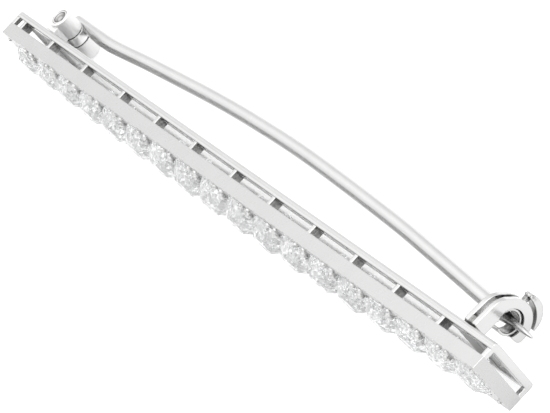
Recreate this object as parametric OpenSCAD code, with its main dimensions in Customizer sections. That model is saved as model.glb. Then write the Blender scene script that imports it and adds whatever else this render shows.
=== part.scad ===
// Bar brooch: a hollow box bar set with one row of round stones, with a hinged pin and a revolving catch.
// All sizes are in millimetres. The brooch is drawn face down: x runs along the bar from the hinge end,
// y across it from one long side wall to the other, and z from the front face to the back.
// laid_on_side() then turns it onto the far side wall, as it lies.

/* [Bar] */
// Length of the bar
bar_l = 72; // [64:0.5:80]
// Width of the bar across the stones
bar_w = 5.1; // [5:0.05:6.5]
// Depth of the bar from the front face to the back
bar_d = 2.46; // [2.3:0.02:3.2]
// Thickness of the side and end walls
wall_t = 0.45; // [0.35:0.05:0.6]
// Thickness of the front plate that the stones are set in
plate_t = 0.9; // [0.7:0.05:1.05]
// Depth of the plain band along the front of the side walls
band_d = 1.15; // [1.1:0.05:1.3]
// Depth of the back rail
rail_d = 0.63; // [0.5:0.01:0.8]
// Width of the back rail
rail_w = 0.95; // [0.7:0.05:1.2]
// Radius of the rail's two outer back edges
rail_r = 0.28; // [0.1:0.02:0.4]

/* [Slots] */
// Width of a post
post_w = 0.38; // [0.3:0.02:0.6]
// Depth of a post into the bar
post_in = 0.95; // [0.6:0.05:1.2]
// Width of the solid corner beside the first and last slot
corner_w = 0.4; // [0.3:0.05:0.8]
// Length of the short slot at the hinge end
short_slot_l = 0.95; // [0.5:0.05:2]

/* [Stones] */
// Diameter of the middle stones over that of the end stones
graduation = 1.1; // [1:0.01:1.3]
// Metal left beyond the first and last stone
end_margin = 0.6; // [0.5:0.05:1.5]
// Gap between one stone and the next
stone_gap = 0.04; // [0.02:0.01:0.1]
// Crown height of the stone at the hinge end, as a share of its diameter
crown_share_first = 0.22; // [0.14:0.01:0.3]
// Crown height of the middle stones, as a share of their diameter
crown_share_mid = 0.32; // [0.14:0.01:0.34]
// Crown height of the stone at the catch end, as a share of its diameter
crown_share_last = 0.18; // [0.14:0.01:0.3]
// Width of the table, as a share of the stone's diameter
table_share = 0.47; // [0.4:0.01:0.6]
// Depth of the pavilion, as a share of the stone's diameter
pavilion_share = 0.42; // [0.4:0.01:0.45]
// Thickness of a stone's girdle
girdle_t = 0.12; // [0.06:0.02:0.2]
// How far the girdle's top lies below the front plate's face
girdle_sink = 0.02; // [0:0.01:0.06]
// Gap between a stone and its seat
seat_gap = 0.04; // [0.02:0.01:0.08]

/* [Grains] */
// Radius of the small grains along the bar's edges
grain_r = 0.25; // [0.2:0.01:0.32]
// Distance between the two grains beside each joint of two stones
grain_spacing = 1.05; // [0.8:0.05:1.4]
// Distance from the bar's edge to the grains' centres
grain_in = 0.52; // [0.4:0.02:0.6]
// Radius of the claws between two stones
claw_r = 0.34; // [0.28:0.02:0.5]

/* [Hinge] */
// Distance from the bar's end to the hinge axis
hinge_x = 4.4; // [3.6:0.1:6]
// Height of the hinge axis above the bar's back
hinge_rise = 1.35; // [1.25:0.05:1.8]
// Outer diameter of the knuckles
knuckle_d = 1.9; // [1.7:0.05:2.2]
// Length of the pin's own knuckle, between the two fixed ones
knuckle_pin_l = 0.95; // [0.9:0.05:1.4]
// Play between two knuckles
knuckle_play = 0.1; // [0.04:0.01:0.1]
// Distance from the near side wall to the end of the hinge
near_inset = 0.12; // [0.05:0.01:0.4]
// Distance from the far side wall to the end of the hinge
far_inset = 0.36; // [0.05:0.01:0.5]
// Diameter of the rivet
rivet_d = 0.8; // [0.6:0.05:0.9]
// Clearance round the rivet
rivet_gap = 0.04; // [0.02:0.01:0.08]
// Diameter of the sunk cone in each outer knuckle's end
cone_d = 1.46; // [1.3:0.02:1.5]
// Depth of that cone
cone_depth = 0.6; // [0.5:0.05:0.8]
// How far the rivet's flared ends lie inside the cones
flare_in = 0.06; // [0.02:0.01:0.12]
// Thickness of the flare's lip
flare_lip_t = 0.1; // [0.08:0.01:0.14]
// Diameter of the rivet's own bore
rivet_bore_d = 0.4; // [0.3:0.02:0.44]
// Width of the foot under the fixed knuckles
hinge_foot_l = 1.1; // [0.9:0.05:1.5]
// Length of the cross plate under the hinge, past its foot on each side
hinge_plate_margin = 0.5; // [0.2:0.05:0.8]

/* [Pin] */
// How far the pin's point lies past the catch
tip_past = 2.65; // [1.5:0.05:3]
// How far the pin's rounded heel lies behind the hinge axis
heel_back = 1.1; // [0.9:0.05:1.3]
// Height of the pin's head above the hinge axis
head_rise = 1.12; // [1:0.02:1.3]
// Height of the point above the bar's back
tip_rise = 2.15; // [1.8:0.05:2.6]
// How far the stem bows away from the bar
pin_bow = 1.54; // [0:0.02:2]
// Diameter of the stem at its thickest
pin_d = 1.2; // [0.9:0.02:1.3]

/* [Catch] */
// Distance from the catch's outer face to the bar's end
catch_in = 3.25; // [2.6:0.05:5]
// Thickness of each of the case's two plates
case_plate_t = 0.45; // [0.3:0.05:0.6]
// Width of the groove between the plates
groove_w = 0.5; // [0.4:0.05:0.7]
// Depth of the groove
groove_d = 0.42; // [0.3:0.02:0.5]
// How far the ring's middle lies below the pin that runs through it
ring_under_pin = 0.18; // [0.1:0.01:0.2]
// Outer radius of the ring
ring_r = 1.84; // [1.7:0.02:2.1]
// Radius of the hole that the roller turns in
roller_bore_r = 1.1; // [1.05:0.01:1.2]
// Distance from the ring's middle across to the outer edge of the case's stem
stem_outer = 2.25; // [2.2:0.01:2.5]
// Distance from the ring's middle across to the inner edge of the case's stem
stem_inner = 1.02; // [0.9:0.01:1.06]
// How far below the ring's middle the mouth's upper edge lies
mouth_drop = 0.64; // [0.5:0.02:0.8]
// Radius of the jaw's outer corner
jaw_r = 0.45; // [0.3:0.01:0.48]
// Height above the bar's back at which the groove starts
groove_from = 0.72; // [0.4:0.02:0.8]
// Clearance between the roller and its bore
roller_gap = 0.05; // [0.03:0.01:0.08]
// Inner radius of the roller
roller_in_r = 0.85; // [0.82:0.01:0.88]
// How far the roller's end lies inside the case's outer face
roller_sunk = 0.2; // [0.05:0.05:0.4]
// Angle that the gap in the roller spans
roller_slot_a = 85; // [70:1:90]
// Direction of the end of the roller's gap when the catch is shut
roller_slot_end = 250; // [240:1:255]
// Inner radius of the thumb tab, from the ring's middle
tab_in_r = 2.16; // [2.12:0.01:2.3]
// Radius of the thumb tab's outer curve
tab_out_r = 1.62; // [1.5:0.01:1.7]
// Width of the thumb tab
tab_w = 0.85; // [0.6:0.05:1.2]
// How far the tab lies nearer the bar's end than the groove does
tab_shift = 0.22; // [0:0.01:0.25]

/* [Hidden] */
$fn = 48;
metal = [0.86, 0.87, 0.88];
diamond = [0.93, 0.95, 0.97];
// Depth by which joined solids run into each other
eps = 0.05;
// Distance by which a cut runs on outside the metal
past = 1;

// Posts: the right-hand side of each. After the first they stand where the saw left them, as shares of the bar.
post_shares = [0.0929, 0.1747, 0.2633, 0.3444, 0.4251, 0.5115, 0.5919, 0.674, 0.7563, 0.8365, 0.9188];
post_xs = concat([corner_w + short_slot_l + post_w], bar_l * post_shares);
slot_z0 = band_d;
slot_z1 = bar_d - rail_d;

// Row of stones: diameters rise towards the middle by a parabola and fill the bar
stone_count = 18;
function across(i) = (2 * i - stone_count + 1) / (stone_count - 1);
bulges = [for (i = [0:stone_count - 1]) 1 - across(i) * across(i)];
function total(v, k) = k < 0 ? 0 : v[k] + total(v, k - 1);
row_l = bar_l - 2 * end_margin - (stone_count - 1) * stone_gap;
stone_end_d = row_l / (stone_count + (graduation - 1) * total(bulges, stone_count - 1));
stone_ds = [for (b = bulges) stone_end_d * (1 + (graduation - 1) * b)];
function stone_x(i) = end_margin + total(stone_ds, i - 1) + i * stone_gap + stone_ds[i] / 2;
function joint_x(i) = end_margin + total(stone_ds, i) + (i + 0.5) * stone_gap;
// Crown share: from the first to the middle stones, and on to the last
function crown_share(i) =
    let (u = across(i), end = u < 0 ? crown_share_first : crown_share_last)
    crown_share_mid + (end - crown_share_mid) * u * u;
// Angle from one stone's facets to the next one's, so that no two catch the light alike
facet_angle = 17;
mid_crown = 0.45;
mid_pavilion = 0.62;
culet_share = 0.04;
// Points of one ring of the cut
function ring_pts(n, r, z, turn) = [for (k = [0:n - 1]) [r * cos(k * 360 / n + turn), r * sin(k * 360 / n + turn), z]];

// Grains and claws: height of their centres over the plate (minus is outwards), and the claws' place
grain_z = -0.05;
claw_z = -0.12;
claw_share = 0.33;
// The four corner grains are smaller and lie a little further in
corner_more = 0.15;
corner_grain_in = grain_in + corner_more;
corner_grain_r = 0.75 * grain_r;

// Hinge
hinge_z = bar_d + hinge_rise;
mid_y = bar_w / 2;
own_y0 = mid_y - knuckle_pin_l / 2;
own_y1 = mid_y + knuckle_pin_l / 2;
near_y0 = near_inset;
near_y1 = own_y0 - knuckle_play;
far_y0 = own_y1 + knuckle_play;
far_y1 = bar_w - far_inset;
foot_sunk = 0.3;
// Rivet: a tube whose two ends are flared into the cones. Each end is a small bowl, a quarter of an ellipse.
rivet_hole_r = rivet_d / 2 + rivet_gap;
flare_out_r = cone_d / 2 - (cone_d / 2 - rivet_hole_r) * flare_in / cone_depth - rivet_gap;
bowl_r = flare_out_r - flare_lip_t;
bowl_depth = 0.7 * cone_depth;
bowl = [for (a = [0:15:90])
    [rivet_bore_d / 2 + (bowl_r - rivet_bore_d / 2) * cos(a), bowl_depth * sin(a)]];

// Catch, along the bar
case_t = 2 * case_plate_t + groove_w;
case_x1 = bar_l - catch_in;
case_x0 = case_x1 - case_t;
groove_x0 = case_x0 + case_plate_t;
case_mid_x = case_x0 + case_t / 2;

// Pin: shares of its length, of its bow and of its diameter, from the heel to the point
ALONG = 0;
BOW = 1;
THICK = 2;
pin_rows = [
    [0, -0.01, 0.78],
    [0.028, -0.03, 0.84],
    [0.055, -0.075, 0.98],
    [0.085, -0.08, 1.02],
    [0.115, 0.02, 1],
    [0.17, 0.255, 1],
    [0.225, 0.45, 1],
    [0.32, 0.76, 1],
    [0.41, 0.94, 1],
    [0.525, 1.015, 1],
    [0.7, 0.81, 1],
    [0.8, 0.555, 1],
    [0.905, 0.235, 1],
    [0.935, 0.15, 0.96],
    [0.955, 0.095, 0.62],
    [0.968, 0.07, 0.44],
    [0.985, 0.035, 0.33],
    [1, 0.01, 0.14]];
pin_sides = 14;
pin_steps = 4;
heel_x = hinge_x - heel_back;
tip_x = case_x1 + tip_past;
head_z = hinge_z + head_rise;
tip_z = bar_d + tip_rise;
function spline(a, b, c, d, t) =
    0.5 * (2 * b + (c - a) * t + (2 * a - 5 * b + 4 * c - d) * t * t + (3 * b - a - 3 * c + d) * t * t * t);
function pin_row(k) = pin_rows[max(0, min(len(pin_rows) - 1, k))];
pin_line = [for (k = [0:len(pin_rows) - 2], s = [0:pin_steps - 1])
    spline(pin_row(k - 1), pin_row(k), pin_row(k + 1), pin_row(k + 2), s / pin_steps), pin_row(len(pin_rows))];
function pin_point(row) = [heel_x + (tip_x - heel_x) * row[ALONG],
    head_z + (tip_z - head_z) * row[ALONG] + pin_bow * row[BOW]];
// The heel is a half ball of the head's own radius
heel_r = pin_d * pin_rows[0][THICK] / 2;
heel_rings = [for (a = [75, 50, 25]) [heel_x - heel_r * sin(a), pin_point(pin_rows[0])[1], heel_r * cos(a)]];
pin_rings = concat(heel_rings, [for (row = pin_line) concat(pin_point(row), [pin_d * row[THICK] / 2])]);

// Catch, round the pin
ring_z = lookup(case_mid_x, [for (p = pin_rings) [p[0], p[1]]]) - ring_under_pin;
mouth_z = ring_z - mouth_drop;
// Second circle, lower and nearer the first wall than the ring's own, that carries the rim into the stem
shoulder_over = 0.36;
shoulder_down = 0.32;
shoulder_y = mid_y - shoulder_over;
shoulder_z = ring_z - shoulder_down;
stem_y0 = mid_y - stem_outer;
stem_y1 = mid_y - stem_inner;
// Chamfer of the stem's foot, and the cross strip on each side of the case
foot_in = 0.3;
foot_h = 0.2;
strip_more = 0.5;
// Travel of the roller's neck, as directions from the ring's middle
neck_a0 = 84;
neck_a1 = 93;
roller_travel = 60;
travel_play = 6;
travel_a0 = neck_a0 - travel_play;
travel_a1 = neck_a1 + roller_travel + travel_play;
neck_t = groove_w - 2 * roller_gap;
neck_r0 = (roller_bore_r + roller_in_r) / 2;
// Jaw: centre of the round of its outer corner
jaw_z = mouth_z + jaw_r;
jaw_y = mid_y + sqrt(pow(ring_r - jaw_r, 2) - pow(ring_z - jaw_z, 2));
// Thumb tab: its outer curve's centre, as a direction and a distance from the ring's middle, and the
// directions of its tail's end and of its round nose
tab_dir = 66;
tab_offset = 1.13;
tab_tail = 24;
tab_nose = 90;
// Distance from the ring's middle to the tab's outer curve
function tab_reach(a) =
    tab_offset * cos(a - tab_dir) + sqrt(pow(tab_out_r, 2) - pow(tab_offset * sin(a - tab_dir), 2));
nose_r = (tab_reach(tab_nose) - tab_in_r) / 2;
nose_away = (tab_reach(tab_nose) + tab_in_r) / 2;

// Turns the brooch from its drawn position onto the far side wall, with its middle over the origin
module laid_on_side() {
    translate([-bar_l / 2, -band_d / 2, bar_w]) rotate([-90, 0, 0]) children();
}

module box(x0, y0, z0, x1, y1, z1) {
    translate([x0, y0, z0]) cube([x1 - x0, y1 - y0, z1 - z0]);
}

// Rod across the bar, along y
module rod_y(x, y0, y1, z, r) {
    translate([x, y0, z]) rotate([-90, 0, 0]) cylinder(h = y1 - y0, r = r);
}

// Plate across the length: its outline is drawn as [y, z]
module plate_x(x0, x1) {
    translate([x0, 0, 0]) rotate([90, 0, 90]) linear_extrude(height = x1 - x0) children();
}

// Solid block of the bar with its two long back edges rounded
module bar_block() {
    box(0, 0, 0, bar_l, bar_w, bar_d - rail_r);
    box(0, rail_r, bar_d - rail_r - eps, bar_l, bar_w - rail_r, bar_d);
    for (y = [rail_r, bar_w - rail_r])
        translate([0, y, bar_d - rail_r]) rotate([0, 90, 0]) cylinder(h = bar_l, r = rail_r);
}

// Space inside the bar: behind the plate, and the long opening between the rails
module bar_hollow() {
    box(wall_t, wall_t, plate_t, bar_l - wall_t, bar_w - wall_t, slot_z1);
    box(rail_w, rail_w, plate_t, bar_l - rail_w, bar_w - rail_w, bar_d + past);
}

// Slots through the side walls and the end walls
module wall_slots() {
    box(corner_w, -past, slot_z0, bar_l - corner_w, wall_t + eps, slot_z1);
    box(corner_w, bar_w - wall_t - eps, slot_z0, bar_l - corner_w, bar_w + past, slot_z1);
    box(-past, corner_w, slot_z0, bar_l + past, bar_w - corner_w, slot_z1);
}

module posts() {
    for (x = post_xs)
        for (y = [0, bar_w - post_in])
            box(x - post_w, y, plate_t - eps, x, y + post_in, slot_z1 + eps);
}

// Space that a stone and its gap take in the metal: pavilion, girdle and the cone over its crown.
// The grains and claws are cut back to it.
module stone_room(i) {
    r = stone_ds[i] / 2 + seat_gap;
    top = girdle_sink - seat_gap;
    low = girdle_t + girdle_sink + seat_gap;
    deep = plate_t + eps;
    deep_r = r * (1 - (deep - low) / (stone_ds[i] * pavilion_share)) + seat_gap;
    crown_top = top - stone_ds[i] * crown_share(i);
    translate([stone_x(i), bar_w / 2, 0]) rotate_extrude()
        polygon([[0, crown_top], [r * table_share, crown_top], [r, top], [r, low], [deep_r, deep], [0, deep]]);
}

// Grains in pairs along both edges beside each joint of two stones, and one claw on each side of the joint
module grains() {
    for (i = [0:stone_count - 2])
        for (side = [-1, 1])
            translate([joint_x(i), bar_w / 2, 0]) {
                for (s = [-0.5, 0.5])
                    translate([s * grain_spacing, side * (bar_w / 2 - grain_in), grain_z]) sphere(r = grain_r);
                translate([0, side * stone_ds[i] * claw_share, claw_z]) sphere(r = claw_r);
            }
    for (x = [corner_grain_in, bar_l - corner_grain_in])
        for (side = [-1, 1])
            translate([x, bar_w / 2 + side * (bar_w / 2 - corner_grain_in), 0]) sphere(r = corner_grain_r);
}

// Fixed half of the hinge: cross plate, feet and the two outer knuckles
module hinge_fixed() {
    half = hinge_foot_l / 2;
    box(hinge_x - half, wall_t, slot_z1, hinge_x + half + hinge_plate_margin, bar_w - wall_t, bar_d);
    for (span = [[near_y0 + foot_sunk, near_y1], [far_y0, far_y1 - foot_sunk]])
        box(hinge_x - half, span[0], bar_d - eps, hinge_x + half, span[1], hinge_z - knuckle_d / 2 + foot_sunk);
    rod_y(hinge_x, near_y0, near_y1, hinge_z, knuckle_d / 2);
    rod_y(hinge_x, far_y0, far_y1, hinge_z, knuckle_d / 2);
}

// Ring about the hinge axis: its half section is drawn as [distance from the axis, y]
module turned_y() {
    translate([hinge_x, 0, hinge_z]) rotate([-90, 0, 0]) rotate_extrude() children();
}

module hinge_bores() {
    rod_y(hinge_x, near_y0 - past, far_y1 + past, hinge_z, rivet_hole_r);
    turned_y() {
        polygon([[0, near_y0 - past], [cone_d / 2, near_y0 - past], [cone_d / 2, near_y0],
            [rivet_hole_r, near_y0 + cone_depth], [0, near_y0 + cone_depth]]);
        polygon([[0, far_y1 + past], [cone_d / 2, far_y1 + past], [cone_d / 2, far_y1],
            [rivet_hole_r, far_y1 - cone_depth], [0, far_y1 - cone_depth]]);
    }
}

// Outline of the catch case, drawn as [y, z] and drawn in by the groove's depth
module case_outline(inset) {
    translate([mid_y, ring_z]) circle(r = ring_r - inset);
    intersection() {
        translate([shoulder_y, shoulder_z]) circle(r = ring_r - inset);
        translate([shoulder_y - ring_r, shoulder_z - eps]) square([mid_y - shoulder_y + ring_r, 2 * ring_r]);
    }
    polygon([[stem_y0 + foot_in, bar_d - eps], [stem_y0, bar_d + foot_h], [stem_y0, bar_d + groove_from],
        [stem_y0 + inset, bar_d + groove_from], [shoulder_y - ring_r + inset, shoulder_z],
        [stem_y1, shoulder_z], [stem_y1, bar_d - eps]]);
}

module case_openings() {
    translate([mid_y, ring_z]) circle(r = roller_bore_r);
    translate([stem_y1, bar_d - past]) square([2 * ring_r, mouth_z - bar_d + past]);
    // Outside of the jaw's round corner, up to the line from the ring's middle on which it meets the ring
    far_y = mid_y + 2 * ring_r;
    far_z = jaw_z + (jaw_z - ring_z) * (far_y - jaw_y) / (jaw_y - mid_y);
    difference() {
        polygon([[jaw_y, mouth_z - eps], [far_y, mouth_z - eps], [far_y, far_z], [jaw_y, jaw_z]]);
        translate([jaw_y, jaw_z]) circle(r = jaw_r);
    }
}

// Slice of directions round the ring's middle
module directions(a0, a1, r) {
    translate([mid_y, ring_z])
        polygon(concat([[0, 0]], [for (k = [0:8]) let (a = a0 + (a1 - a0) * k / 8) [r * cos(a), r * sin(a)]]));
}

module catch_case() {
    for (x = [case_x0, case_x1 - case_plate_t])
        plate_x(x, x + case_plate_t) difference() {
            case_outline(0);
            case_openings();
        }
    plate_x(groove_x0 - eps, groove_x0 + groove_w + eps) difference() {
        case_outline(groove_d);
        case_openings();
        directions(travel_a0, travel_a1, 2 * ring_r);
    }
    box(case_x0 - strip_more, wall_t, slot_z1, case_x1 + strip_more, bar_w - wall_t, bar_d);
}

module bar_frame() {
    color(metal) laid_on_side() {
        difference() {
            union() {
                difference() {
                    bar_block();
                    bar_hollow();
                    wall_slots();
                }
                posts();
                grains();
            }
            for (i = [0:stone_count - 1]) stone_room(i);
        }
        difference() {
            hinge_fixed();
            hinge_bores();
        }
        catch_case();
    }
}

// Round cut: table, star, main and upper facets, girdle, lower facets, pavilion mains and culet
module round_cut(d, crown, turn) {
    r = d / 2;
    rt = r * table_share;
    rc = r * culet_share;
    pavilion = d * pavilion_share;
    rm = (r + (rt - r) * mid_crown) / cos(22.5);
    rq = (r + (rc - r) * mid_pavilion) / cos(22.5);
    pts = concat(ring_pts(8, rt, girdle_t + crown, turn), ring_pts(8, rm, girdle_t + crown * mid_crown, turn + 22.5),
        ring_pts(16, r, girdle_t, turn), ring_pts(16, r, 0, turn),
        ring_pts(8, rq, -pavilion * mid_pavilion, turn + 22.5), ring_pts(8, rc, -pavilion, turn));
    t = 0;
    m = 8;
    g = 16;
    b = 32;
    q = 48;
    c = 56;
    polyhedron(points = pts, faces = concat(
        [[for (k = [7:-1:0]) t + k]],
        [for (k = [0:7]) [t + k, t + (k + 1) % 8, m + k]],
        [for (k = [0:7]) [t + k, m + k, g + 2 * k]],
        [for (k = [0:7]) [t + k, g + 2 * k, m + (k + 7) % 8]],
        [for (k = [0:7]) [m + k, g + 2 * k + 1, g + 2 * k]],
        [for (k = [0:7]) [m + k, g + (2 * k + 2) % 16, g + 2 * k + 1]],
        [for (k = [0:15]) [g + k, g + (k + 1) % 16, b + (k + 1) % 16, b + k]],
        [for (k = [0:7]) [q + k, b + 2 * k, b + 2 * k + 1]],
        [for (k = [0:7]) [q + k, b + 2 * k + 1, b + (2 * k + 2) % 16]],
        [for (k = [0:7]) [c + k, b + 2 * k, q + k]],
        [for (k = [0:7]) [c + k, q + (k + 7) % 8, b + 2 * k]],
        [for (k = [0:7]) [c + k, q + k, c + (k + 1) % 8]],
        [[for (k = [0:7]) c + k]]));
}

module stone(i) {
    color(diamond) laid_on_side()
        translate([stone_x(i), bar_w / 2, girdle_t + girdle_sink]) rotate([180, 0, 0])
            round_cut(stone_ds[i], stone_ds[i] * crown_share(i), facet_angle * i);
}

// Tube swept along the pin: each ring stands square to the line through its neighbours
module pin_sweep() {
    n = len(pin_rings);
    function ahead(k) = pin_rings[min(n - 1, k + 1)];
    function behind(k) = pin_rings[max(0, k - 1)];
    function lean(k) = atan2(ahead(k)[1] - behind(k)[1], ahead(k)[0] - behind(k)[0]);
    pts = [for (k = [0:n - 1], s = [0:pin_sides - 1])
        let (p = pin_rings[k], a = s * 360 / pin_sides, tilt = lean(k))
        [p[0] - p[2] * cos(a) * sin(tilt), mid_y + p[2] * sin(a), p[1] + p[2] * cos(a) * cos(tilt)]];
    function at(k, s) = k * pin_sides + s % pin_sides;
    polyhedron(points = pts, faces = concat(
        [[for (s = [pin_sides - 1:-1:0]) at(0, s)]],
        [for (k = [0:n - 2], s = [0:pin_sides - 1]) [at(k, s), at(k + 1, s + 1), at(k + 1, s)]],
        [for (k = [0:n - 2], s = [0:pin_sides - 1]) [at(k, s), at(k, s + 1), at(k + 1, s + 1)]],
        [[for (s = [0:pin_sides - 1]) at(n - 1, s)]]));
}

module pin_stem() {
    color(metal) laid_on_side() difference() {
        union() {
            rod_y(hinge_x, own_y0, own_y1, hinge_z, knuckle_d / 2);
            pin_sweep();
        }
        rod_y(hinge_x, own_y0 - past, own_y1 + past, hinge_z, rivet_hole_r);
    }
}

module hinge_rivet() {
    near_end = near_y0 + flare_in;
    far_end = far_y1 - flare_in;
    near_bowl = [for (p = bowl) [p[0], near_end + p[1]]];
    far_bowl = [for (k = [len(bowl) - 1:-1:0]) [bowl[k][0], far_end - bowl[k][1]]];
    color(metal) laid_on_side() turned_y()
        polygon(concat(near_bowl, far_bowl, [[flare_out_r, far_end], [rivet_d / 2, far_y1 - cone_depth],
            [rivet_d / 2, near_y0 + cone_depth], [flare_out_r, near_end]]));
}

// Curved thumb tab, drawn as [y, z], between two directions
module tab_outline(a0, a1) {
    intersection() {
        difference() {
            translate([mid_y + tab_offset * cos(tab_dir), ring_z + tab_offset * sin(tab_dir)]) circle(r = tab_out_r);
            translate([mid_y, ring_z]) circle(r = tab_in_r);
        }
        directions(a0, a1, 2 * (tab_offset + tab_out_r));
    }
}

module catch_roller() {
    color(metal) laid_on_side() {
        plate_x(case_x0 + roller_gap, case_x1 - roller_sunk) difference() {
            translate([mid_y, ring_z]) circle(r = roller_bore_r - roller_gap);
            translate([mid_y, ring_z]) circle(r = roller_in_r);
            directions(roller_slot_end - roller_slot_a, roller_slot_end, 2 * ring_r);
        }
        plate_x(case_mid_x - neck_t / 2, case_mid_x + neck_t / 2) intersection() {
            directions(neck_a0, neck_a1, 2 * ring_r);
            translate([mid_y, ring_z]) difference() {
                circle(r = tab_in_r + eps);
                circle(r = neck_r0);
            }
        }
        plate_x(case_mid_x + tab_shift - tab_w / 2, case_mid_x + tab_shift + tab_w / 2) {
            tab_outline(tab_tail, tab_nose);
            translate([mid_y + nose_away * cos(tab_nose), ring_z + nose_away * sin(tab_nose)])
                circle(r = nose_r);
        }
    }
}

bar_frame();
stone(0);  // stone_01
stone(1);  // stone_02
stone(2);  // stone_03
stone(3);  // stone_04
stone(4);  // stone_05
stone(5);  // stone_06
stone(6);  // stone_07
stone(7);  // stone_08
stone(8);  // stone_09
stone(9);  // stone_10
stone(10);  // stone_11
stone(11);  // stone_12
stone(12);  // stone_13
stone(13);  // stone_14
stone(14);  // stone_15
stone(15);  // stone_16
stone(16);  // stone_17
stone(17);  // stone_18
pin_stem();
hinge_rivet();
catch_roller();
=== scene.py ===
import math

import bmesh
import bpy
from mathutils import Matrix, Vector


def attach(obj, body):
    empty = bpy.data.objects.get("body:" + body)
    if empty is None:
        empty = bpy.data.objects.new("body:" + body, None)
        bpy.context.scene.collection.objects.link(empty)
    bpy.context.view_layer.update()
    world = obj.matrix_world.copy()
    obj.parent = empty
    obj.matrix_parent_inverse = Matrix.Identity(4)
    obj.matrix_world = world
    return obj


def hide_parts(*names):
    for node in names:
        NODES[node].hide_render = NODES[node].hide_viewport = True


bl_info = {
    "name": "Bar brooch",
    "version": (1, 0, 0),
    "blender": (4, 5, 0),
    "location": "3D View > Sidebar > Brooch",
    "description": "Dresses the bar brooch in polished white metal and old-cut stones, with its pin, catch and studio",
    "category": "Object",
}

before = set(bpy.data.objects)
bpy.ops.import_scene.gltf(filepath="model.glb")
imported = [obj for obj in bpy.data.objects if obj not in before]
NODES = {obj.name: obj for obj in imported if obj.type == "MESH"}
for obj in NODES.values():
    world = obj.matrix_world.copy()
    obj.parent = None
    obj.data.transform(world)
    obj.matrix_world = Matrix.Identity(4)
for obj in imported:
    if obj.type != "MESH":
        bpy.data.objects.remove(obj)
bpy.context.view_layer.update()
MM = 0.001
STONES = ["stone_%02d" % number for number in range(1, 19)]

# ---------------------------------------------------------------- sizes

# The bar: x runs along it from its middle, y from the stones to the pin, z up across it
BAR_L = 72 * MM
BAR_W = 5.1 * MM
BAR_D = 2.46 * MM
BAND_D = 1.15 * MM
# Its wall, how far in a post reaches, and how far from the bar's ends the posts start
WALL = 0.45 * MM
POST_IN = 0.95 * MM
POSTS_FROM = 1 * MM
# Places along y: the plate's front, the slots, the rails' crest and the bar's back
FRONT = -BAND_D / 2
SLOT_FRONT = 0.575 * MM
SLOT_BACK = 1.255 * MM
RAIL_CREST = 1.605 * MM
BAR_BACK = BAR_D - BAND_D / 2
# Past this only the hinge and the catch stand
BEHIND_BAR = BAR_BACK + 0.1 * MM
# How far the rails fall away from their crest
RAIL_FALL = 0.17 * MM
# The catch's case and its groove along x, and the middle of its ring
CASE_X0 = 31.35 * MM
CASE_X1 = 32.75 * MM
GROOVE_X0 = 31.8 * MM
GROOVE_X1 = 32.3 * MM
RING_Y = 4.0336 * MM
RING_Z = 2.55 * MM
# Places up the case along y: the top of the painted shade round its foot, the groove's lower end, where its painted
# shade is darkest, and its top, painted paler
CASE_FOOT = BAR_BACK + 0.16 * MM
GROOVE_END = (BAR_BACK + 0.85 * MM, BAR_BACK + 1.0 * MM)
LIT_GROOVE_TOP = (BAR_BACK + 1.0 * MM, BAR_BACK + 1.8 * MM)
# Along z: the rim that the tab shades, where the painted shade of the tab's inside starts and is full, and where the
# grime of its nose starts and is full
SHADED_RIM = (RING_Z - 1.5 * MM, RING_Z + 0.3 * MM)
TAB_FADE = (RING_Z - 2.0 * MM, RING_Z - 0.6 * MM)
NOSE_FADE = (RING_Z - 0.5 * MM, RING_Z + 0.1 * MM)
# Distances from the middle of the ring: each pair holds one face of the case or of the sleeve, the sleeve's
# bore lies inside the first number, and the case's groove lies outside the last one
SLEEVE_BORE = 0.88 * MM
SLEEVE_BACK = (1.0 * MM, 1.14 * MM)
CASE_BORE = (1.04 * MM, 1.16 * MM)
NECK = (1.14 * MM, 2.14 * MM)
CASE_RIM = (1.8 * MM, 1.88 * MM)
TAB_INSIDE = (2.13 * MM, 2.2 * MM)
CASE_GROOVE = 1.25 * MM
# The rivet's two ends, and how far under the lip of its bowl the painted shade starts and is full
RIVET_TOP = 4.92 * MM
RIVET_FOOT = 0.42 * MM
BOWL_SHADE = (0.16 * MM, 0.30 * MM)
RIVET_EDGE = 0.05 * MM
# Fingers wear the tab's edges this many times as much as the bar's
TAB_WEAR = 1.6
# How far a mask reaches past the faces that it is for
SLACK = 0.01 * MM

# ---------------------------------------------------------------- finishes

# Noise: how fine it is per metre, its detail and its roughness
CLOUDS = (420, 3)
FLOOR_GRAIN = (160, 4)
# Patterns: their noise as above, then the noise where they start and are full, and their shares at those two
CORNER_GRIME_AND_SHADE = ((2200, 4, 0.6), (0.30, 0.62, 0.35, 1.0))
POST_SHADE_MOTTLE = ((6000, 3, 0.6), (0.35, 0.65, 0.7, 1.1))
RAIL_SHADOW_MOTTLE = ((900, 2), (0.4, 0.6, 0.2, 0.8))
CASE_SHADE_BLOTCHES = ((4200, 4, 0.6), (0.35, 0.65, 0.62, 1.1))
SLEEVE_SHADE_BLOTCHES = ((4200, 4, 0.6), (0.35, 0.65, 0.5, 1.1))
PLATE_SPECKS = ((4800, 4, 0.65), (0.5, 0.66, 0.0, 0.7))
NOSE_SPECKS = ((5200, 4, 0.65), (0.44, 0.6, 0.0, 1.0))
STONE_WEAR = ((5200, 4, 0.65), (0.45, 0.8, 0.0, 0.05))
STONE_PATCHES = ((420, 3, 0.6), (0.38, 0.62, 0.35, 1.0))
# Share of a normal along an axis: the least for a face square to it, and the most for one that runs along it
SQUARE_ON = 0.9
RUNS_ALONG = 0.5
KNUCKLE_END = 0.7
# Painted tone of the rails from the slots to the bar's back: a shadow line at the slot's edge, a highlight strip
# beside it, then thin darker lines; below a half darker than the metal, above it brighter
RAIL_TONES = [(0, 0.08), (0.04, 0.12), (0.08, 0.95), (0.30, 0.8), (0.36, 0.5), (0.40, 0.36), (0.44, 0.5),
              (0.5, 0.34), (0.56, 0.5), (0.8, 0.55), (1, 0.6)]
METAL_INDEX = 2.3
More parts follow.
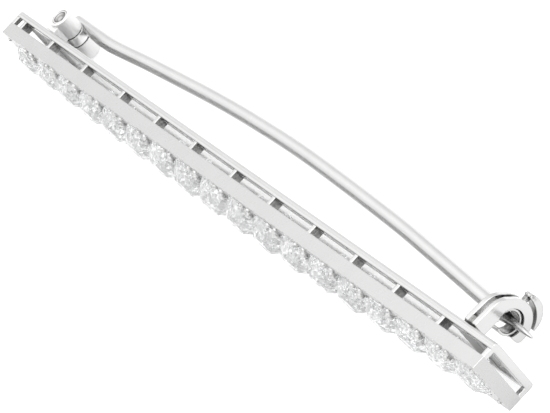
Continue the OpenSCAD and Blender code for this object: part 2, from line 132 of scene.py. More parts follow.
# How open a place is, from 0 to 1: where the grime and painted shade start and are full, and where the metal grows
# rough
GRIME_AND_SHADE_OPEN = (0.5, 0.05)
ROUGH_OPEN = (0.9, 0.3)
SHUT_IN_ROUGHNESS = 0.30
SCRATCH_ROUGHNESS = 0.10
# Tone of the cloudy places as a share of the metal's colour
CLOUD_TONE = 0.965
# Polishing lines per metre along x, y and z
POLISH_LINES = (60, 2600, 2600)
PIN_LINES = (40, 3200, 3200)
# Stray scratches: lines per metre along each axis, turn in degrees, and the noise that shows as a scratch
SCRATCHES = [((500, 9000, 9000), (0, 0, 24), (0.70, 0.76)), ((9000, 420, 9000), (0, 15, 12), (0.71, 0.78))]
LINE_DEPTH = 0.0012 * MM
CLOUD_DEPTH = 0.010 * MM
# Clearness of a stone, the share and tone of its cells painted dark as dark reflections, how far a cell leans, and the
# girdle's frost
STONE_CLEARNESS = 0.68
DARK_FACET_SHARE = 0.42
DARK_FACET_TONE = 0.42
CELL_LEAN = 0.4
GIRDLE_FROST = 0.42
# The most that the girdle's normals lean along the stone's axis, and how many painted dark cells go on a broken light
GIRDLE_LEAN = 0.08
DARK_FACETS_FINER = 1.9


def row_point(x, y, z):
    """A point drawn on the face-down brooch, in millimetres, as a point of the row frame."""
    return Vector((x * MM - BAR_L / 2, z * MM - BAND_D / 2, BAR_W - y * MM))


# ---------------------------------------------------------------- settings


class BroochFinish(bpy.types.PropertyGroup):
    metal_colour: bpy.props.FloatVectorProperty(
        name="Metal", description="Colour of the polished white metal", subtype="COLOR",
        size=3, min=0, max=1, default=(0.60, 0.60, 0.598))
    # Colour of the grime and of the painted shade in corners and recesses
    grime_and_shade_colour: bpy.props.FloatVectorProperty(
        name="Grime", description="Colour of what has settled in the corners", subtype="COLOR",
        size=3, min=0, max=1, default=(0.10, 0.098, 0.095))
    # How far the grime and painted shade reach out of a corner
    grime_and_shade_reach: bpy.props.FloatProperty(
        name="Grime reach", description="How far out of a corner the grime shows",
        default=0.32 * MM, min=0, max=2 * MM, unit="LENGTH")
    edge_radius: bpy.props.FloatProperty(
        name="Edge wear", description="Radius to which the frame's edges are worn",
        default=0.11 * MM, min=0, max=0.3 * MM, unit="LENGTH")
    stone_colour: bpy.props.FloatVectorProperty(
        name="Stone", description="Body colour of the stones", subtype="COLOR",
        size=3, min=0, max=1, default=(0.985, 0.99, 1.0))
    stone_index: bpy.props.FloatProperty(
        name="Stone's index", description="How strongly the stones bend light", default=2.42, min=1, max=3)
    stone_sparkle: bpy.props.FloatProperty(
        name="Stone's sparkle", description="Width of the small broken lights in a stone",
        default=0.3 * MM, min=0.05 * MM, max=2 * MM, unit="LENGTH")


class BroochPin(bpy.types.PropertyGroup):
    thickness: bpy.props.FloatProperty(
        name="Thickness", description="Diameter of the stem where it is plain round wire",
        default=1.2 * MM, min=0.5 * MM, max=3 * MM, unit="LENGTH")
    sides: bpy.props.IntProperty(
        name="Sides", description="Points round the stem", default=36, min=8, max=96)
    steps: bpy.props.IntProperty(
        name="Steps", description="Rings between two rows of the stem's table", default=14, min=2, max=40)


class BroochStudio(bpy.types.PropertyGroup):
    floor_colour: bpy.props.FloatVectorProperty(
        name="Floor", description="Colour of the floor", subtype="COLOR",
        size=3, min=0, max=1, default=(0.32, 0.32, 0.32))
    floor_glow: bpy.props.FloatProperty(
        name="Floor's glow", description="Light that comes up through the floor, as through a light table",
        default=0.82, min=0, max=5)
    sky: bpy.props.FloatProperty(
        name="Sky", description="Brightness of the white ceiling", default=1.75, min=0, max=5)
    walls: bpy.props.FloatProperty(
        name="Walls", description="Brightness of the walls, where they are greyest", default=1.05, min=0, max=5)
    top_light: bpy.props.FloatProperty(
        name="Top light", description="Power of the large soft light overhead", default=9.0, min=0,
        unit="POWER")


# ---------------------------------------------------------------- materials


class Nodes:
    """A node tree, filled by short calls. Each call returns the output that the next one takes."""

    def __init__(self, tree):
        self.tree = tree
        tree.nodes.clear()

    def add(self, kind, **values):
        """A new node of this kind, with these settings."""
        node = self.tree.nodes.new(kind)
        for key, value in values.items():
            setattr(node, key, value)
        return node

    def link(self, out, into):
        self.tree.links.new(out, into)

    def place(self, scale=(1, 1, 1), turn=(0, 0, 0)):
        """Object coordinates, in metres, scaled and turned."""
        coords = self.add("ShaderNodeTexCoord")
        mapping = self.add("ShaderNodeMapping")
        mapping.inputs["Scale"].default_value = scale
        mapping.inputs["Rotation"].default_value = [math.radians(a) for a in turn]
        self.link(coords.outputs["Object"], mapping.inputs["Vector"])
        return mapping.outputs["Vector"]

    def noise(self, vector, scale, detail=3, roughness=0.5):
        """Soft noise from 0 to 1."""
        node = self.add("ShaderNodeTexNoise")
        node.inputs["Scale"].default_value = scale
        node.inputs["Detail"].default_value = detail
        node.inputs["Roughness"].default_value = roughness
        self.link(vector, node.inputs["Vector"])
        return node.outputs["Fac"]

    def cells(self, scale):
        """A colour for each small cell."""
        node = self.add("ShaderNodeTexVoronoi", voronoi_dimensions="3D", feature="F1")
        node.inputs["Scale"].default_value = scale
        self.link(self.place(), node.inputs["Vector"])
        return node.outputs["Color"]

    def spread(self, value, low, high, to_low=0.0, to_high=1.0):
        """value, from low..high onto to_low..to_high."""
        node = self.add("ShaderNodeMapRange")
        for name, number in zip(("From Min", "From Max", "To Min", "To Max"), (low, high, to_low, to_high)):
            node.inputs[name].default_value = number
        self.link(value, node.inputs["Value"])
        return node.outputs["Result"]

    def pattern(self, row):
        """One of the patterns listed at the top."""
        noise, shares = row
        return self.spread(self.noise(self.place(), *noise), *shares)

    def ramp(self, value, stops):
        """Grey that runs through the stops, each a place and a tone from 0 to 1."""
        node = self.add("ShaderNodeValToRGB")
        elements = node.color_ramp.elements
        while len(elements) < len(stops):
            elements.new(0.5)
        for element, (place, tone) in zip(elements, stops):
            element.position = place
            element.color = (tone, tone, tone, 1)
        self.link(value, node.inputs["Fac"])
        return node.outputs["Color"]

    def math(self, operation, *values):
        """One sum on one or two values, each a number or an output."""
        node = self.add("ShaderNodeMath", operation=operation)
        for socket, value in zip(node.inputs, values):
            if isinstance(value, (int, float)):
                socket.default_value = value
            else:
                self.link(value, socket)
        return node.outputs["Value"]

    def above(self, value, low):
        """1 where the value is above low and 0 elsewhere. The next four give such masks too."""
        return self.math("GREATER_THAN", value, low)

    def below(self, value, high):
        return self.math("LESS_THAN", value, high)

    def within(self, value, low, high):
        return self.math("MULTIPLY", self.above(value, low), self.below(value, high))

    def outside(self, value, low, high):
        return self.math("SUBTRACT", 1.0, self.within(value, low, high))

    def beyond(self, value, size):
        """1 where the value is further from 0 than size, on either side."""
        return self.above(self.math("ABSOLUTE", value), size)

    def both(self, *values):
        """Product of the values, so that a mask holds only where they all do."""
        product = values[0]
        for value in values[1:]:
            product = self.math("MULTIPLY", product, value)
        return product

    def split(self, output):
        """The x, y and z of the object's coordinates or of its normals."""
        coords, parts = self.add("ShaderNodeTexCoord"), self.add("ShaderNodeSeparateXYZ")
        self.link(coords.outputs[output], parts.inputs["Vector"])
        return parts.outputs

    def from_ring(self, y, z):
        """Distance from the middle line of the catch's ring."""
        up, aside = self.math("SUBTRACT", y, RING_Y), self.math("SUBTRACT", z, RING_Z)
        return self.math("SQRT", self.math("ADD", self.both(up, up), self.both(aside, aside)))

    def mix_colour(self, factor, a, b):
        """a where the factor is 0 and b where it is 1, each a colour or an output."""
        node = self.add("ShaderNodeMix", data_type="RGBA")
        self.link(factor, node.inputs["Factor"])
        for name, value in (("A", a), ("B", b)):
            socket = [s for s in node.inputs if s.name == name and s.type == "RGBA"][0]
            if isinstance(value, bpy.types.NodeSocket):
                self.link(value, socket)
            else:
                socket.default_value = (*value, 1)
        return [s for s in node.outputs if s.type == "RGBA"][0]

    def bump(self, height, distance, normal=None):
        """Normal of a relief this high, over the normal given."""
        node = self.add("ShaderNodeBump")
        node.inputs["Distance"].default_value = distance
        node.inputs["Strength"].default_value = 1.0
        self.link(height, node.inputs["Height"])
        if normal is not None:
            self.link(normal, node.inputs["Normal"])
        return node.outputs["Normal"]

    def surface(self, shader):
        """Sends the shader to the material's output."""
        out = self.add("ShaderNodeOutputMaterial")
        self.link(shader.outputs["BSDF"], out.inputs["Surface"])


def new_material(name):
    material = bpy.data.materials.new(name)
    material.use_nodes = True
    return material, Nodes(material.node_tree)


def darker(colour, share):
    """The colour times a share, which is over 1 for a brighter one."""
    return tuple(c * share for c in colour)


def add_grime_and_shade(n, grime_and_shade, rows):
    """Lays grime and painted shade over what there is: each row is a mask and how dark it gets."""
    for mask, share in rows:
        grime_and_shade = n.math("MAXIMUM", grime_and_shade, n.math("MULTIPLY", mask, share))
    return grime_and_shade


def case_marks(n, x, y, z, facing):
    """The mask of the painted shade in the groove of the catch's case, and the painted shade of the case as masks and
    shares.
    """
    away = n.from_ring(y, z)
    in_case = n.within(x, CASE_X0 - SLACK, CASE_X1 + SLACK)
    shade_blotches = n.pattern(CASE_SHADE_BLOTCHES)
    # The painted shade is darkest at the groove's lower end
    shaded_groove = n.both(n.within(x, GROOVE_X0 - SLACK, GROOVE_X1 + SLACK), n.above(away, CASE_GROOVE),
                    n.above(y, BEHIND_BAR), shade_blotches, n.spread(y, *GROOVE_END, 3.4, 0.8))
    shaded_bore = n.both(in_case, n.within(away, *CASE_BORE), n.within(facing["X"], -RUNS_ALONG, RUNS_ALONG), shade_blotches)
    shaded_foot = n.both(in_case, n.within(y, BAR_BACK + SLACK, CASE_FOOT), shade_blotches)
    shade_under_tab = n.both(in_case, n.within(away, *CASE_RIM), n.within(z, *SHADED_RIM), n.above(y, RING_Y))
    return shaded_groove, [(shaded_groove, 0.22), (shaded_bore, 0.75), (shaded_foot, 0.9), (shade_under_tab, 0.45)]


# Each of the next four says how a finish changes from place to place. It returns the grime and painted shade, the
# tones, mostly painted light and shade, as masks and shares of the metal's colour, the masks and sizes of added
# roughness, and the rails' height if it has one


def bar_marks(n, grime_and_shade):
    """Frosted hollow painted brighter, painted shade on the posts' ends and a painted shadow line under the rails,
    painted highlight and shade along the rails, a satin band painted darker, a satin hinge painted brighter, and
    painted shade in the catch's case.
    """
    at, facing = n.split("Object"), n.split("Normal")
    x, y, z = at
    # The seats and the bar's hollow are frosted and painted brighter to lift their shade, and little of the grime and
    # painted shade shows there
    grime_and_shade = n.math("MULTIPLY", grime_and_shade, n.spread(y, SLOT_BACK, SLOT_BACK + 0.1 * MM, 0.3, 1.0))
    lit_frosted_hollow = n.both(n.within(y, FRONT + 2 * SLACK, BAR_BACK - 2 * SLACK),
                    n.within(z, WALL + SLACK, BAR_W - WALL - SLACK),
                    n.within(x, WALL - BAR_L / 2, BAR_L / 2 - WALL))
    front = n.below(y, FRONT + 3 * SLACK)
    # The posts' ends that face along the slots get a mottled painted shade, and a thin painted shadow line lies under
    # the rails
    in_slot = n.within(y, SLOT_FRONT - 2 * SLACK, SLOT_BACK + 2 * SLACK)
    shaded_post_ends = n.both(n.beyond(facing["X"], SQUARE_ON), in_slot,
                  n.within(x, POSTS_FROM - BAR_L / 2, BAR_L / 2 - POSTS_FROM),
                  n.spread(y, SLOT_FRONT, SLOT_BACK, 0.55, 1.0),
                  n.spread(z, BAR_W - POST_IN, BAR_W, 0.78, 1.0), n.pattern(POST_SHADE_MOTTLE))
    shadow_under_rail = n.both(n.below(facing["Y"], -SQUARE_ON), n.within(y, SLOT_BACK - SLACK, SLOT_BACK + SLACK),
                        n.outside(z, WALL + SLACK, BAR_W - WALL - SLACK), n.pattern(RAIL_SHADOW_MOTTLE))
    specks = n.both(front, n.pattern(PLATE_SPECKS))
    shaded_groove, case_rows = case_marks(n, x, y, z, facing)
    # The groove has its own painted shade, so it keeps little of the painted corner shade that its depth would give it
    grime_and_shade = n.math("MULTIPLY", grime_and_shade, n.spread(shaded_groove, 0.0, 0.3, 1.0, 0.2))
    grime_and_shade = add_grime_and_shade(n, grime_and_shade, [(shaded_post_ends, 1.0), (shadow_under_rail, 0.35), *case_rows, (specks, 1.0)])
    # Painted along the rails: a shadow line at the slot's edge, a highlight strip beside it, and thin darker lines
    rail_shading = n.ramp(n.spread(y, SLOT_BACK, BAR_BACK), RAIL_TONES)
    rail = n.both(n.outside(z, 2 * SLACK, BAR_W - 2 * SLACK), n.above(y, SLOT_BACK - SLACK))
    rail_highlight = n.both(rail, n.spread(rail_shading, 0.5, 1.0))
    rail_shade = n.both(rail, n.spread(rail_shading, 0.5, 0.0))
    # The hinge's tube and the plain band are satin; the tube is painted brighter to lift its shading, and the band
    # painted darker as painted shade
    lit_satin_hinge = n.both(n.above(y, BEHIND_BAR), n.below(x, 0.0))
    shaded_satin_band = n.both(n.below(y, SLOT_FRONT - 2 * SLACK), n.within(facing["Y"], -RUNS_ALONG, RUNS_ALONG))
    # The groove's top is painted paler, as painted light
    lit_groove_top = n.both(shaded_groove, n.spread(y, *LIT_GROOVE_TOP))
    tones = [(shaded_satin_band, 0.83), (lit_frosted_hollow, 1.2), (front, 0.98), (lit_satin_hinge, 1.2), (lit_groove_top, 1.4), (rail_highlight, 1.25),
             (rail_shade, 0.5)]
    rougher = [(lit_satin_hinge, 0.35), (shaded_satin_band, 0.12), (lit_frosted_hollow, 0.45), (front, 0.2)]
    # The rails fall away from their crest towards the slots, so their height there is below 0
    fall = n.math("POWER", n.spread(y, RAIL_CREST, SLOT_BACK, 0.0, 1.0), 2.0)
    return grime_and_shade, tones, rougher, n.math("MULTIPLY", fall, -1.0)


def roller_marks(n, grime_and_shade):
    """Painted shade inside the catch's sleeve, on its neck and under the thumb tab."""
    _, y, z = n.split("Object")
    away = n.from_ring(y, z)
    shade_blotches = n.pattern(SLEEVE_SHADE_BLOTCHES)
    shaded_sleeve = n.both(n.below(away, SLEEVE_BORE), shade_blotches)
    shaded_neck = n.both(n.within(away, *NECK), shade_blotches)
    # The sleeve's back, seen through the groove, keeps less of the painted corner shade than its corners would give it
    grime_and_shade = n.math("MULTIPLY", grime_and_shade, n.spread(n.within(away, *SLEEVE_BACK), 0.0, 1.0, 1.0, 0.25))
    shade_under_tab = n.both(n.within(away, *TAB_INSIDE), n.spread(z, *TAB_FADE))
    nose = n.both(n.above(away, TAB_INSIDE[1]), n.spread(z, *NOSE_FADE), n.pattern(NOSE_SPECKS))
    return add_grime_and_shade(n, grime_and_shade, [(shaded_sleeve, 0.8), (shaded_neck, 0.75), (shade_under_tab, 0.75), (nose, 0.75)]), [], [], None


def pin_marks(n, grime_and_shade):
    """Painted shade on the two ends of the pin's knuckle, and a painted highlight that makes it brighter round its
    side.
    """
    at, facing = n.split("Object"), n.split("Normal")
    corner = row_point(HINGE_X + KNUCKLE_R, MIDDLE_Y, HINGE_Z + KNUCKLE_R / 2)
    knuckle = n.both(n.below(at["X"], corner.x), n.below(at["Y"], corner.y))
    end = n.both(knuckle, n.beyond(facing["Z"], KNUCKLE_END))
    return n.math("MAXIMUM", grime_and_shade, end), [(knuckle, 1.3)], [(knuckle, 0.1)], None


def rivet_marks(n, grime_and_shade):
    """Painted shade at the bottom of the bowl at each end of the rivet, and painted light that makes the rest
    brighter.
    """
    z = n.split("Object")["Z"]
    start, full = BOWL_SHADE
    shaded_bowl = n.math("MINIMUM", n.spread(z, RIVET_TOP - start, RIVET_TOP - full),
                  n.spread(z, RIVET_FOOT + start, RIVET_FOOT + full))
    return add_grime_and_shade(n, grime_and_shade, [(shaded_bowl, 0.75)]), [(n.math("SUBTRACT", 1.0, shaded_bowl), 1.2)], [], None


def white_metal(name, finish, marks, lines=POLISH_LINES, edge=0.0, roughness=(0.10, 0.20), grime_and_shade_share=1.0):
    """Polished white metal with fine polishing lines, small scratches, worn edges, and grime with painted shade in its
    corners.
    """
    material, n = new_material(name)
    shader = n.add("ShaderNodeBsdfPrincipled")
    shader.inputs["Metallic"].default_value = 1.0
    shader.inputs["IOR"].default_value = METAL_INDEX
    # Cloudiness of the polish, polishing lines along the bar, and stray scratches across them
    clouds = n.noise(n.place(), *CLOUDS)
    polish = n.noise(n.place(lines), 1.0, 2)
    scratches = n.math("ADD", *(n.spread(n.noise(n.place(fine, turn), 1.0, 1), *shown)
                                for fine, turn, shown in SCRATCHES))
    # Grime and painted shade where the metal closes in on itself
    shut_in = n.add("ShaderNodeAmbientOcclusion", samples=8)
    shut_in.inputs["Distance"].default_value = finish.grime_and_shade_reach
    grime_and_shade = n.both(n.spread(shut_in.outputs["AO"], *GRIME_AND_SHADE_OPEN, 0.0, grime_and_shade_share), n.pattern(CORNER_GRIME_AND_SHADE))
    grime_and_shade, tones, rougher, height = marks(n, grime_and_shade)
    # Colour
    tone = n.mix_colour(n.spread(clouds, 0.3, 0.7), darker(finish.metal_colour, CLOUD_TONE),
                        finish.metal_colour)
    for mask, share in tones:
        tone = n.mix_colour(mask, tone, darker(finish.metal_colour, share))
    n.link(n.mix_colour(grime_and_shade, tone, finish.grime_and_shade_colour), shader.inputs["Base Color"])
    # Roughness, with scratched and shut-in places the roughest
    rough = n.spread(clouds, 0.25, 0.75, *roughness)
    shut = n.spread(shut_in.outputs["AO"], *ROUGH_OPEN)
    for mask, more in [(scratches, SCRATCH_ROUGHNESS), (shut, SHUT_IN_ROUGHNESS), *rougher]:
        rough = n.math("ADD", rough, n.math("MULTIPLY", mask, more))
    n.link(rough, shader.inputs["Roughness"])
    # Relief: worn edges, the rails' fall, the lines and scratches, and the clouds
    normal = None
    if edge:
        bevel = n.add("ShaderNodeBevel", samples=6)
        bevel.inputs["Radius"].default_value = edge
        normal = bevel.outputs["Normal"]
    if height is not None:
        normal = n.bump(height, RAIL_FALL, normal)
    relief = n.math("SUBTRACT", n.math("MULTIPLY", polish, 0.5), scratches)
    normal = n.bump(relief, LINE_DEPTH, normal)
    normal = n.bump(clouds, CLOUD_DEPTH, normal)
    n.link(normal, shader.inputs["Normal"])
    n.surface(shader)
    return material


def old_cut_stone(name, finish):
    """Clear stone with a frosted girdle and the small broken lights of an old hand cut, with dark reflections painted
    into some cells.
    """
    material, n = new_material(name)
    shader = n.add("ShaderNodeBsdfPrincipled")
    shader.inputs["Transmission Weight"].default_value = STONE_CLEARNESS
    shader.inputs["IOR"].default_value = finish.stone_index
    # Some of the smaller cells are painted darker as dark reflections, most of all in a few patches of the stone
    specks = n.add("ShaderNodeSeparateColor")
    n.link(n.cells(DARK_FACETS_FINER / finish.stone_sparkle), specks.inputs["Color"])
    dark_facet_cells = n.both(n.spread(specks.outputs["Red"], 0.0, DARK_FACET_SHARE, 1.0, 0.0), n.pattern(STONE_PATCHES))
    n.link(n.mix_colour(dark_facet_cells, finish.stone_colour, darker(finish.stone_colour, DARK_FACET_TONE)),
           shader.inputs["Base Color"])
    # The girdle's facets stand square to the stone's axis, which runs along y
    girdle = n.within(n.split("Normal")["Y"], -GIRDLE_LEAN, GIRDLE_LEAN)
    frost = n.math("MULTIPLY", girdle, GIRDLE_FROST)
    n.link(n.math("ADD", n.pattern(STONE_WEAR), frost), shader.inputs["Roughness"])
    # Each cell of the surface leans its own way, so that the light breaks up in it
    lean = n.add("ShaderNodeVectorMath", operation="MULTIPLY_ADD")
    n.link(n.cells(1 / finish.stone_sparkle), lean.inputs[0])
    lean.inputs[1].default_value = (2 * CELL_LEAN,) * 3
    lean.inputs[2].default_value = (-CELL_LEAN,) * 3
    face, leaning = n.add("ShaderNodeNewGeometry"), n.add("ShaderNodeVectorMath", operation="ADD")
    n.link(face.outputs["Normal"], leaning.inputs[0])
    n.link(lean.outputs["Vector"], leaning.inputs[1])
    normal = n.add("ShaderNodeVectorMath", operation="NORMALIZE")
    n.link(leaning.outputs["Vector"], normal.inputs[0])
    n.link(normal.outputs["Vector"], shader.inputs["Normal"])
    n.surface(shader)
    return material


def pale_floor(name, studio):
    """Plain pale board with a hardly visible grain, lit from below."""
    material, n = new_material(name)
    shader = n.add("ShaderNodeBsdfPrincipled")
    shader.inputs["Specular IOR Level"].default_value = FLOOR_SHINE
    grain = n.spread(n.noise(n.place(), *FLOOR_GRAIN), 0.3, 0.7)
    n.link(n.mix_colour(grain, studio.floor_colour, darker(studio.floor_colour, FLOOR_GRAIN_TONE)),
           shader.inputs["Base Color"])
    n.link(n.spread(grain, 0.0, 1.0, *FLOOR_ROUGHNESS), shader.inputs["Roughness"])
    shader.inputs["Emission Color"].default_value = (1, 1, 1, 1)
    shader.inputs["Emission Strength"].default_value = studio.floor_glow
    n.surface(shader)
    return material


def dress(obj, material):
    """Gives a new object this one material."""
    obj.data.materials.clear()
    obj.data.materials.append(material)


def dress_node(name, material):
    """Puts the material on every slot of a solid that is kept."""
    node = NODES[name]
    for material_slot in node.material_slots:
        material_slot.material = material
    if not node.material_slots:
        node.data.materials.append(material)


# ---------------------------------------------------------------- the pin

# Shares of the pin's length, of its bow and of its thickness, from the heel to the point
PIN_TABLE = [
    (0, -0.01, 0.78), (0.028, -0.03, 0.84), (0.055, -0.075, 0.98), (0.085, -0.08, 1.02), (0.115, 0.02, 1),
    (0.17, 0.255, 1), (0.225, 0.45, 1), (0.32, 0.76, 1), (0.41, 0.94, 1), (0.525, 1.015, 1), (0.7, 0.81, 1),
    (0.8, 0.555, 1), (0.905, 0.235, 1), (0.935, 0.15, 0.96), (0.955, 0.095, 0.62), (0.968, 0.07, 0.44),
    (0.985, 0.035, 0.33), (1, 0.01, 0.14)]
# Millimetres on the face-down brooch: the bow, the pin's two ends, its place across, and the hinge
PIN_BOW = 1.54
HEEL_X = 3.3
HEEL_Z = 4.93
TIP_X = 71.4
TIP_Z = 4.61
MIDDLE_Y = 2.55
HINGE_X = 4.4
HINGE_Z = 3.81
KNUCKLE_R = 0.95
KNUCKLE_HALF = 0.475
KNUCKLE_BORE = 0.44
KNUCKLE_EDGE = 0.05
KNUCKLE_SIDES = 64
# Angles of the rings that round the heel off, and the angle above which an edge stays crisp, in degrees
HEEL_ANGLES = (88, 80, 70, 60, 50, 40, 30, 20, 10)
CRISP_ANGLE = 50


def spline(rows, k, t):
    """Smooth value between rows k and k + 1 of a table."""
    last = len(rows) - 1
    a, b, c, d = (rows[max(0, min(last, k + s))] for s in (-1, 0, 1, 2))
    return [0.5 * (2 * q + (r - p) * t + (2 * p - 5 * q + 4 * r - s) * t * t + (3 * q - p - 3 * r + s) * t ** 3)
            for p, q, r, s in zip(a, b, c, d)]


def pin_rings(pin):
    """Centre and radius of each ring along the pin, in millimetres, from the rounded heel to the point."""
    rows = [spline(PIN_TABLE, k, s / pin.steps) for k in range(len(PIN_TABLE) - 1) for s in range(pin.steps)]
    rows.append(PIN_TABLE[-1])
    rings = [(HEEL_X + (TIP_X - HEEL_X) * along, HEEL_Z + (TIP_Z - HEEL_Z) * along + PIN_BOW * bow,
              pin.thickness / MM * thick / 2) for along, bow, thick in rows]
    x0, z0, r0 = rings[0]
    heel = [(x0 - r0 * math.sin(a), z0, r0 * math.cos(a)) for a in map(math.radians, HEEL_ANGLES)]
    return heel + rings


def sweep(bm, rings, sides):
    """Round tube through the rings, closed at both ends."""
    loops = []
    for k, (x, z, r) in enumerate(rings):
        ahead, behind = rings[min(len(rings) - 1, k + 1)], rings[max(0, k - 1)]
        lean = math.atan2(ahead[1] - behind[1], ahead[0] - behind[0])
        loops.append([bm.verts.new(row_point(
            x - r * math.cos(a) * math.sin(lean), MIDDLE_Y + r * math.sin(a),
            z + r * math.cos(a) * math.cos(lean))) for a in (2 * math.pi * s / sides for s in range(sides))])
    for one, two in zip(loops, loops[1:]):
        for s in range(sides):
            bm.faces.new((one[s], one[(s + 1) % sides], two[(s + 1) % sides], two[s]))
    bm.faces.new(loops[0][::-1])
    bm.faces.new(loops[-1])


def turned_ring(bm, profile, centre, sides):
    """Closed ring turned about an axis across the bar: profile is a loop of (across, radius)."""
    x0, z0 = centre
    loops = []
    for s in range(sides):
        a = 2 * math.pi * s / sides
        loops.append([bm.verts.new(row_point(x0 + r * math.cos(a), y, z0 + r * math.sin(a))) for y, r in profile])
    count = len(profile)
    for s in range(sides):
        one, two = loops[s], loops[(s + 1) % sides]
        for k in range(count):
            bm.faces.new((one[k], one[(k + 1) % count], two[(k + 1) % count], two[k]))


def rounded_profile(y0, y1, r_in, r_out, edge, steps=3):
    """Cross-section of a ring as (across, radius) points, with its four corners rounded by edge."""
    points = []
    for y, r, start in ((y1, r_out, 0), (y0, r_out, 90), (y0, r_in, 180), (y1, r_in, 270)):
        centre_y = y - edge if y == y1 else y + edge
        centre_r = r - edge if r == r_out else r + edge
        for k in range(steps + 1):
            a = math.radians(start + 90 * k / steps)
            points.append((centre_y + edge * math.cos(a), centre_r + edge * math.sin(a)))
    return points


def object_from(bm, name):
    """Finishes a mesh: normals outwards, smooth faces, linked to the scene."""
    bmesh.ops.recalc_face_normals(bm, faces=bm.faces)
    mesh = bpy.data.meshes.new(name)
    bm.to_mesh(mesh)
    bm.free()
    for face in mesh.polygons:
        face.use_smooth = True
    obj = bpy.data.objects.new(name, mesh)
    bpy.context.scene.collection.objects.link(obj)
    return obj


# ---------------------------------------------------------------- operators


class BROOCH_OT_frame(bpy.types.Operator):
    """Finish the soldered bar, its hinge and the case of its catch"""
    bl_idname = "brooch.frame"
    bl_label = "Bar"

    def execute(self, context):
        finish = context.scene.brooch_finish
        dress_node("bar_frame", white_metal("frame_polish", finish, bar_marks, edge=finish.edge_radius))
        return {"FINISHED"}


class BROOCH_OT_stones(bpy.types.Operator):
    """Finish the row of old-cut stones"""
    bl_idname = "brooch.stones"
    bl_label = "Stones"

    def execute(self, context):
        clear = old_cut_stone("clear_stone", context.scene.brooch_finish)
        for name in STONES:
            dress_node(name, clear)
        return {"FINISHED"}


class BROOCH_OT_pin(bpy.types.Operator):
    """Make the bowed pin with its round heel and its knuckle"""
    bl_idname = "brooch.pin"
    bl_label = "Pin"

    def execute(self, context):
        finish, pin = context.scene.brooch_finish, context.scene.brooch_pin
        bm = bmesh.new()
        sweep(bm, pin_rings(pin), pin.sides)
        profile = rounded_profile(MIDDLE_Y - KNUCKLE_HALF, MIDDLE_Y + KNUCKLE_HALF, KNUCKLE_BORE, KNUCKLE_R,
                                  KNUCKLE_EDGE)
        turned_ring(bm, profile, (HINGE_X, HINGE_Z), KNUCKLE_SIDES)
        obj = object_from(bm, "pin")
        obj.data.set_sharp_from_angle(angle=math.radians(CRISP_ANGLE))
        dress(obj, white_metal("pin_polish", finish, pin_marks, lines=PIN_LINES, roughness=(0.20, 0.28),
                               grime_and_shade_share=0.3))
        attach(obj, "pin")
        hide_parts("pin_stem")
        return {"FINISHED"}


class BROOCH_OT_rivet(bpy.types.Operator):
    """Finish the rivet of the hinge"""
    bl_idname = "brooch.rivet"
    bl_label = "Rivet"

    def execute(self, context):
        finish = context.scene.brooch_finish
        dress_node("hinge_rivet", white_metal("rivet_polish", finish, rivet_marks, edge=RIVET_EDGE))
        return {"FINISHED"}


class BROOCH_OT_catch(bpy.types.Operator):
    """Finish the catch's turning sleeve and its thumb tab"""
    bl_idname = "brooch.catch"
    bl_label = "Catch"

    def execute(self, context):
        finish = context.scene.brooch_finish
        edge = TAB_WEAR * finish.edge_radius
        dress_node("catch_roller", white_metal("catch_polish", finish, roller_marks, edge=edge))
        return {"FINISHED"}


# Share of the way from the walls' grey to the ceiling's white, by the sine of the height
WALL_TONES = [(0, 0.12), (0.22, 0.02), (0.34, 0.14), (0.48, 0.34), (0.58, 0.48), (0.63, 0.8), (0.8, 1)]
# The floor: its radius in metres, the sides of its edge, its shine, its roughness and the tone of its grain
FLOOR_R = 3.0
FLOOR_SIDES = 96
FLOOR_SHINE = 0.2
FLOOR_ROUGHNESS = (0.65, 0.8)
FLOOR_GRAIN_TONE = 0.985
# The side and place of the light overhead, and the nearest and furthest that the camera sees, in metres
TOP_LIGHT_SIDE = 1.4
TOP_LIGHT_AT = (0.1, 0.2, 1.1)
CAMERA_REACH = (0.01, 20)
# The camera that was fitted to the photograph: millimetres for its sensor and place, pixels for its focal
# length and the picture's width, and the directions to its right and up
SENSOR_W = 36.0
FOCAL_PIXELS = 4000
PICTURE_W = 550
CAMERA_AT = (240.9689, -31.8838, 182.741)
CAMERA_RIGHT = (0.49920751, 0.68460451, -0.5311389)
CAMERA_UP = (-0.35321317, 0.72052304, 0.59673026)


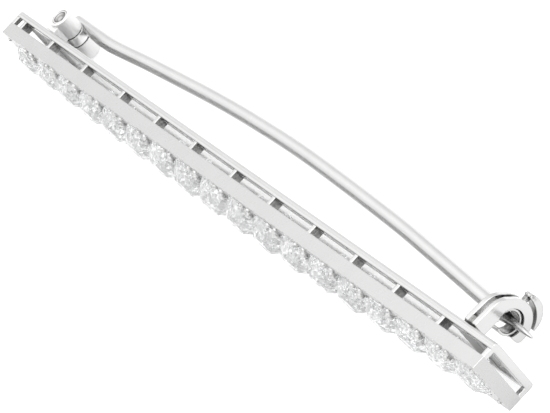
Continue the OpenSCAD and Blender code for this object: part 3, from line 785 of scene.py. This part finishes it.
class BROOCH_OT_stage(bpy.types.Operator):
    """Set up the pale floor, the soft light and the camera"""
    bl_idname = "brooch.stage"
    bl_label = "Stage"

    def execute(self, context):
        studio = context.scene.brooch_studio
        self.floor(studio)
        self.surroundings(context, studio)
        self.lights(context, studio)
        self.camera(context)
        context.scene.view_settings.view_transform = "Standard"
        return {"FINISHED"}

    def floor(self, studio):
        """Large round board under the brooch."""
        bm = bmesh.new()
        bmesh.ops.create_circle(bm, cap_ends=True, radius=FLOOR_R, segments=FLOOR_SIDES)
        floor = object_from(bm, "floor")
        dress(floor, pale_floor("pale_floor", studio))

    def surroundings(self, context, studio):
        """White ceiling that grows greyer down the walls."""
        world = bpy.data.worlds.new("studio_surroundings")
        world.use_nodes = True
        n = Nodes(world.node_tree)
        height = n.split("Generated")["Z"]
        background = n.add("ShaderNodeBackground")
        n.link(n.spread(n.ramp(height, WALL_TONES), 0, 1, studio.walls, studio.sky), background.inputs["Color"])
        out = n.add("ShaderNodeOutputWorld")
        n.link(background.outputs["Background"], out.inputs["Surface"])
        context.scene.world = world

    def lights(self, context, studio):
        """One large soft light overhead, turned to the brooch."""
        light = bpy.data.lights.new("top_light", "AREA")
        light.shape = "SQUARE"
        light.size = TOP_LIGHT_SIDE
        light.energy = studio.top_light
        obj = bpy.data.objects.new("top_light", light)
        obj.location = TOP_LIGHT_AT
        obj.rotation_euler = (-obj.location).to_track_quat("-Z", "Y").to_euler()
        context.scene.collection.objects.link(obj)

    def camera(self, context):
        """The photograph's view: from beyond the catch end, along the bar and down at 37 degrees."""
        data = bpy.data.cameras.new("camera")
        data.sensor_width = SENSOR_W
        data.lens = SENSOR_W * FOCAL_PIXELS / PICTURE_W
        data.clip_start, data.clip_end = CAMERA_REACH
        cam = bpy.data.objects.new("camera", data)
        right, up = Vector(CAMERA_RIGHT), Vector(CAMERA_UP)
        turn = Matrix((right, up, right.cross(up))).transposed().to_4x4()
        cam.matrix_world = Matrix.Translation(Vector(CAMERA_AT) * MM) @ turn
        context.scene.collection.objects.link(cam)
        context.scene.camera = cam


class BROOCH_PT_panel(bpy.types.Panel):
    bl_idname = "BROOCH_PT_panel"
    bl_label = "Bar brooch"
    bl_space_type = "VIEW_3D"
    bl_region_type = "UI"
    bl_category = "Brooch"

    def draw(self, context):
        scene = context.scene
        for group in (scene.brooch_finish, scene.brooch_pin, scene.brooch_studio):
            column = self.layout.column(align=True)
            for name in group.bl_rna.properties.keys():
                if name not in ("rna_type", "name"):
                    column.prop(group, name)
        for operator in OPERATORS:
            self.layout.operator(operator.bl_idname)


GROUPS = {"brooch_finish": BroochFinish, "brooch_pin": BroochPin, "brooch_studio": BroochStudio}
OPERATORS = [BROOCH_OT_stage, BROOCH_OT_frame, BROOCH_OT_stones, BROOCH_OT_pin, BROOCH_OT_rivet, BROOCH_OT_catch]
CLASSES = [*GROUPS.values(), *OPERATORS, BROOCH_PT_panel]


def register():
    for cls in CLASSES:
        bpy.utils.register_class(cls)
    for name, group in GROUPS.items():
        setattr(bpy.types.Scene, name, bpy.props.PointerProperty(type=group))


def unregister():
    for name in GROUPS:
        delattr(bpy.types.Scene, name)
    for cls in reversed(CLASSES):
        bpy.utils.unregister_class(cls)


def main():
    register()
    for operator in OPERATORS:
        group, name = operator.bl_idname.split(".")
        getattr(getattr(bpy.ops, group), name)()


if __name__ == "__main__":
    main()
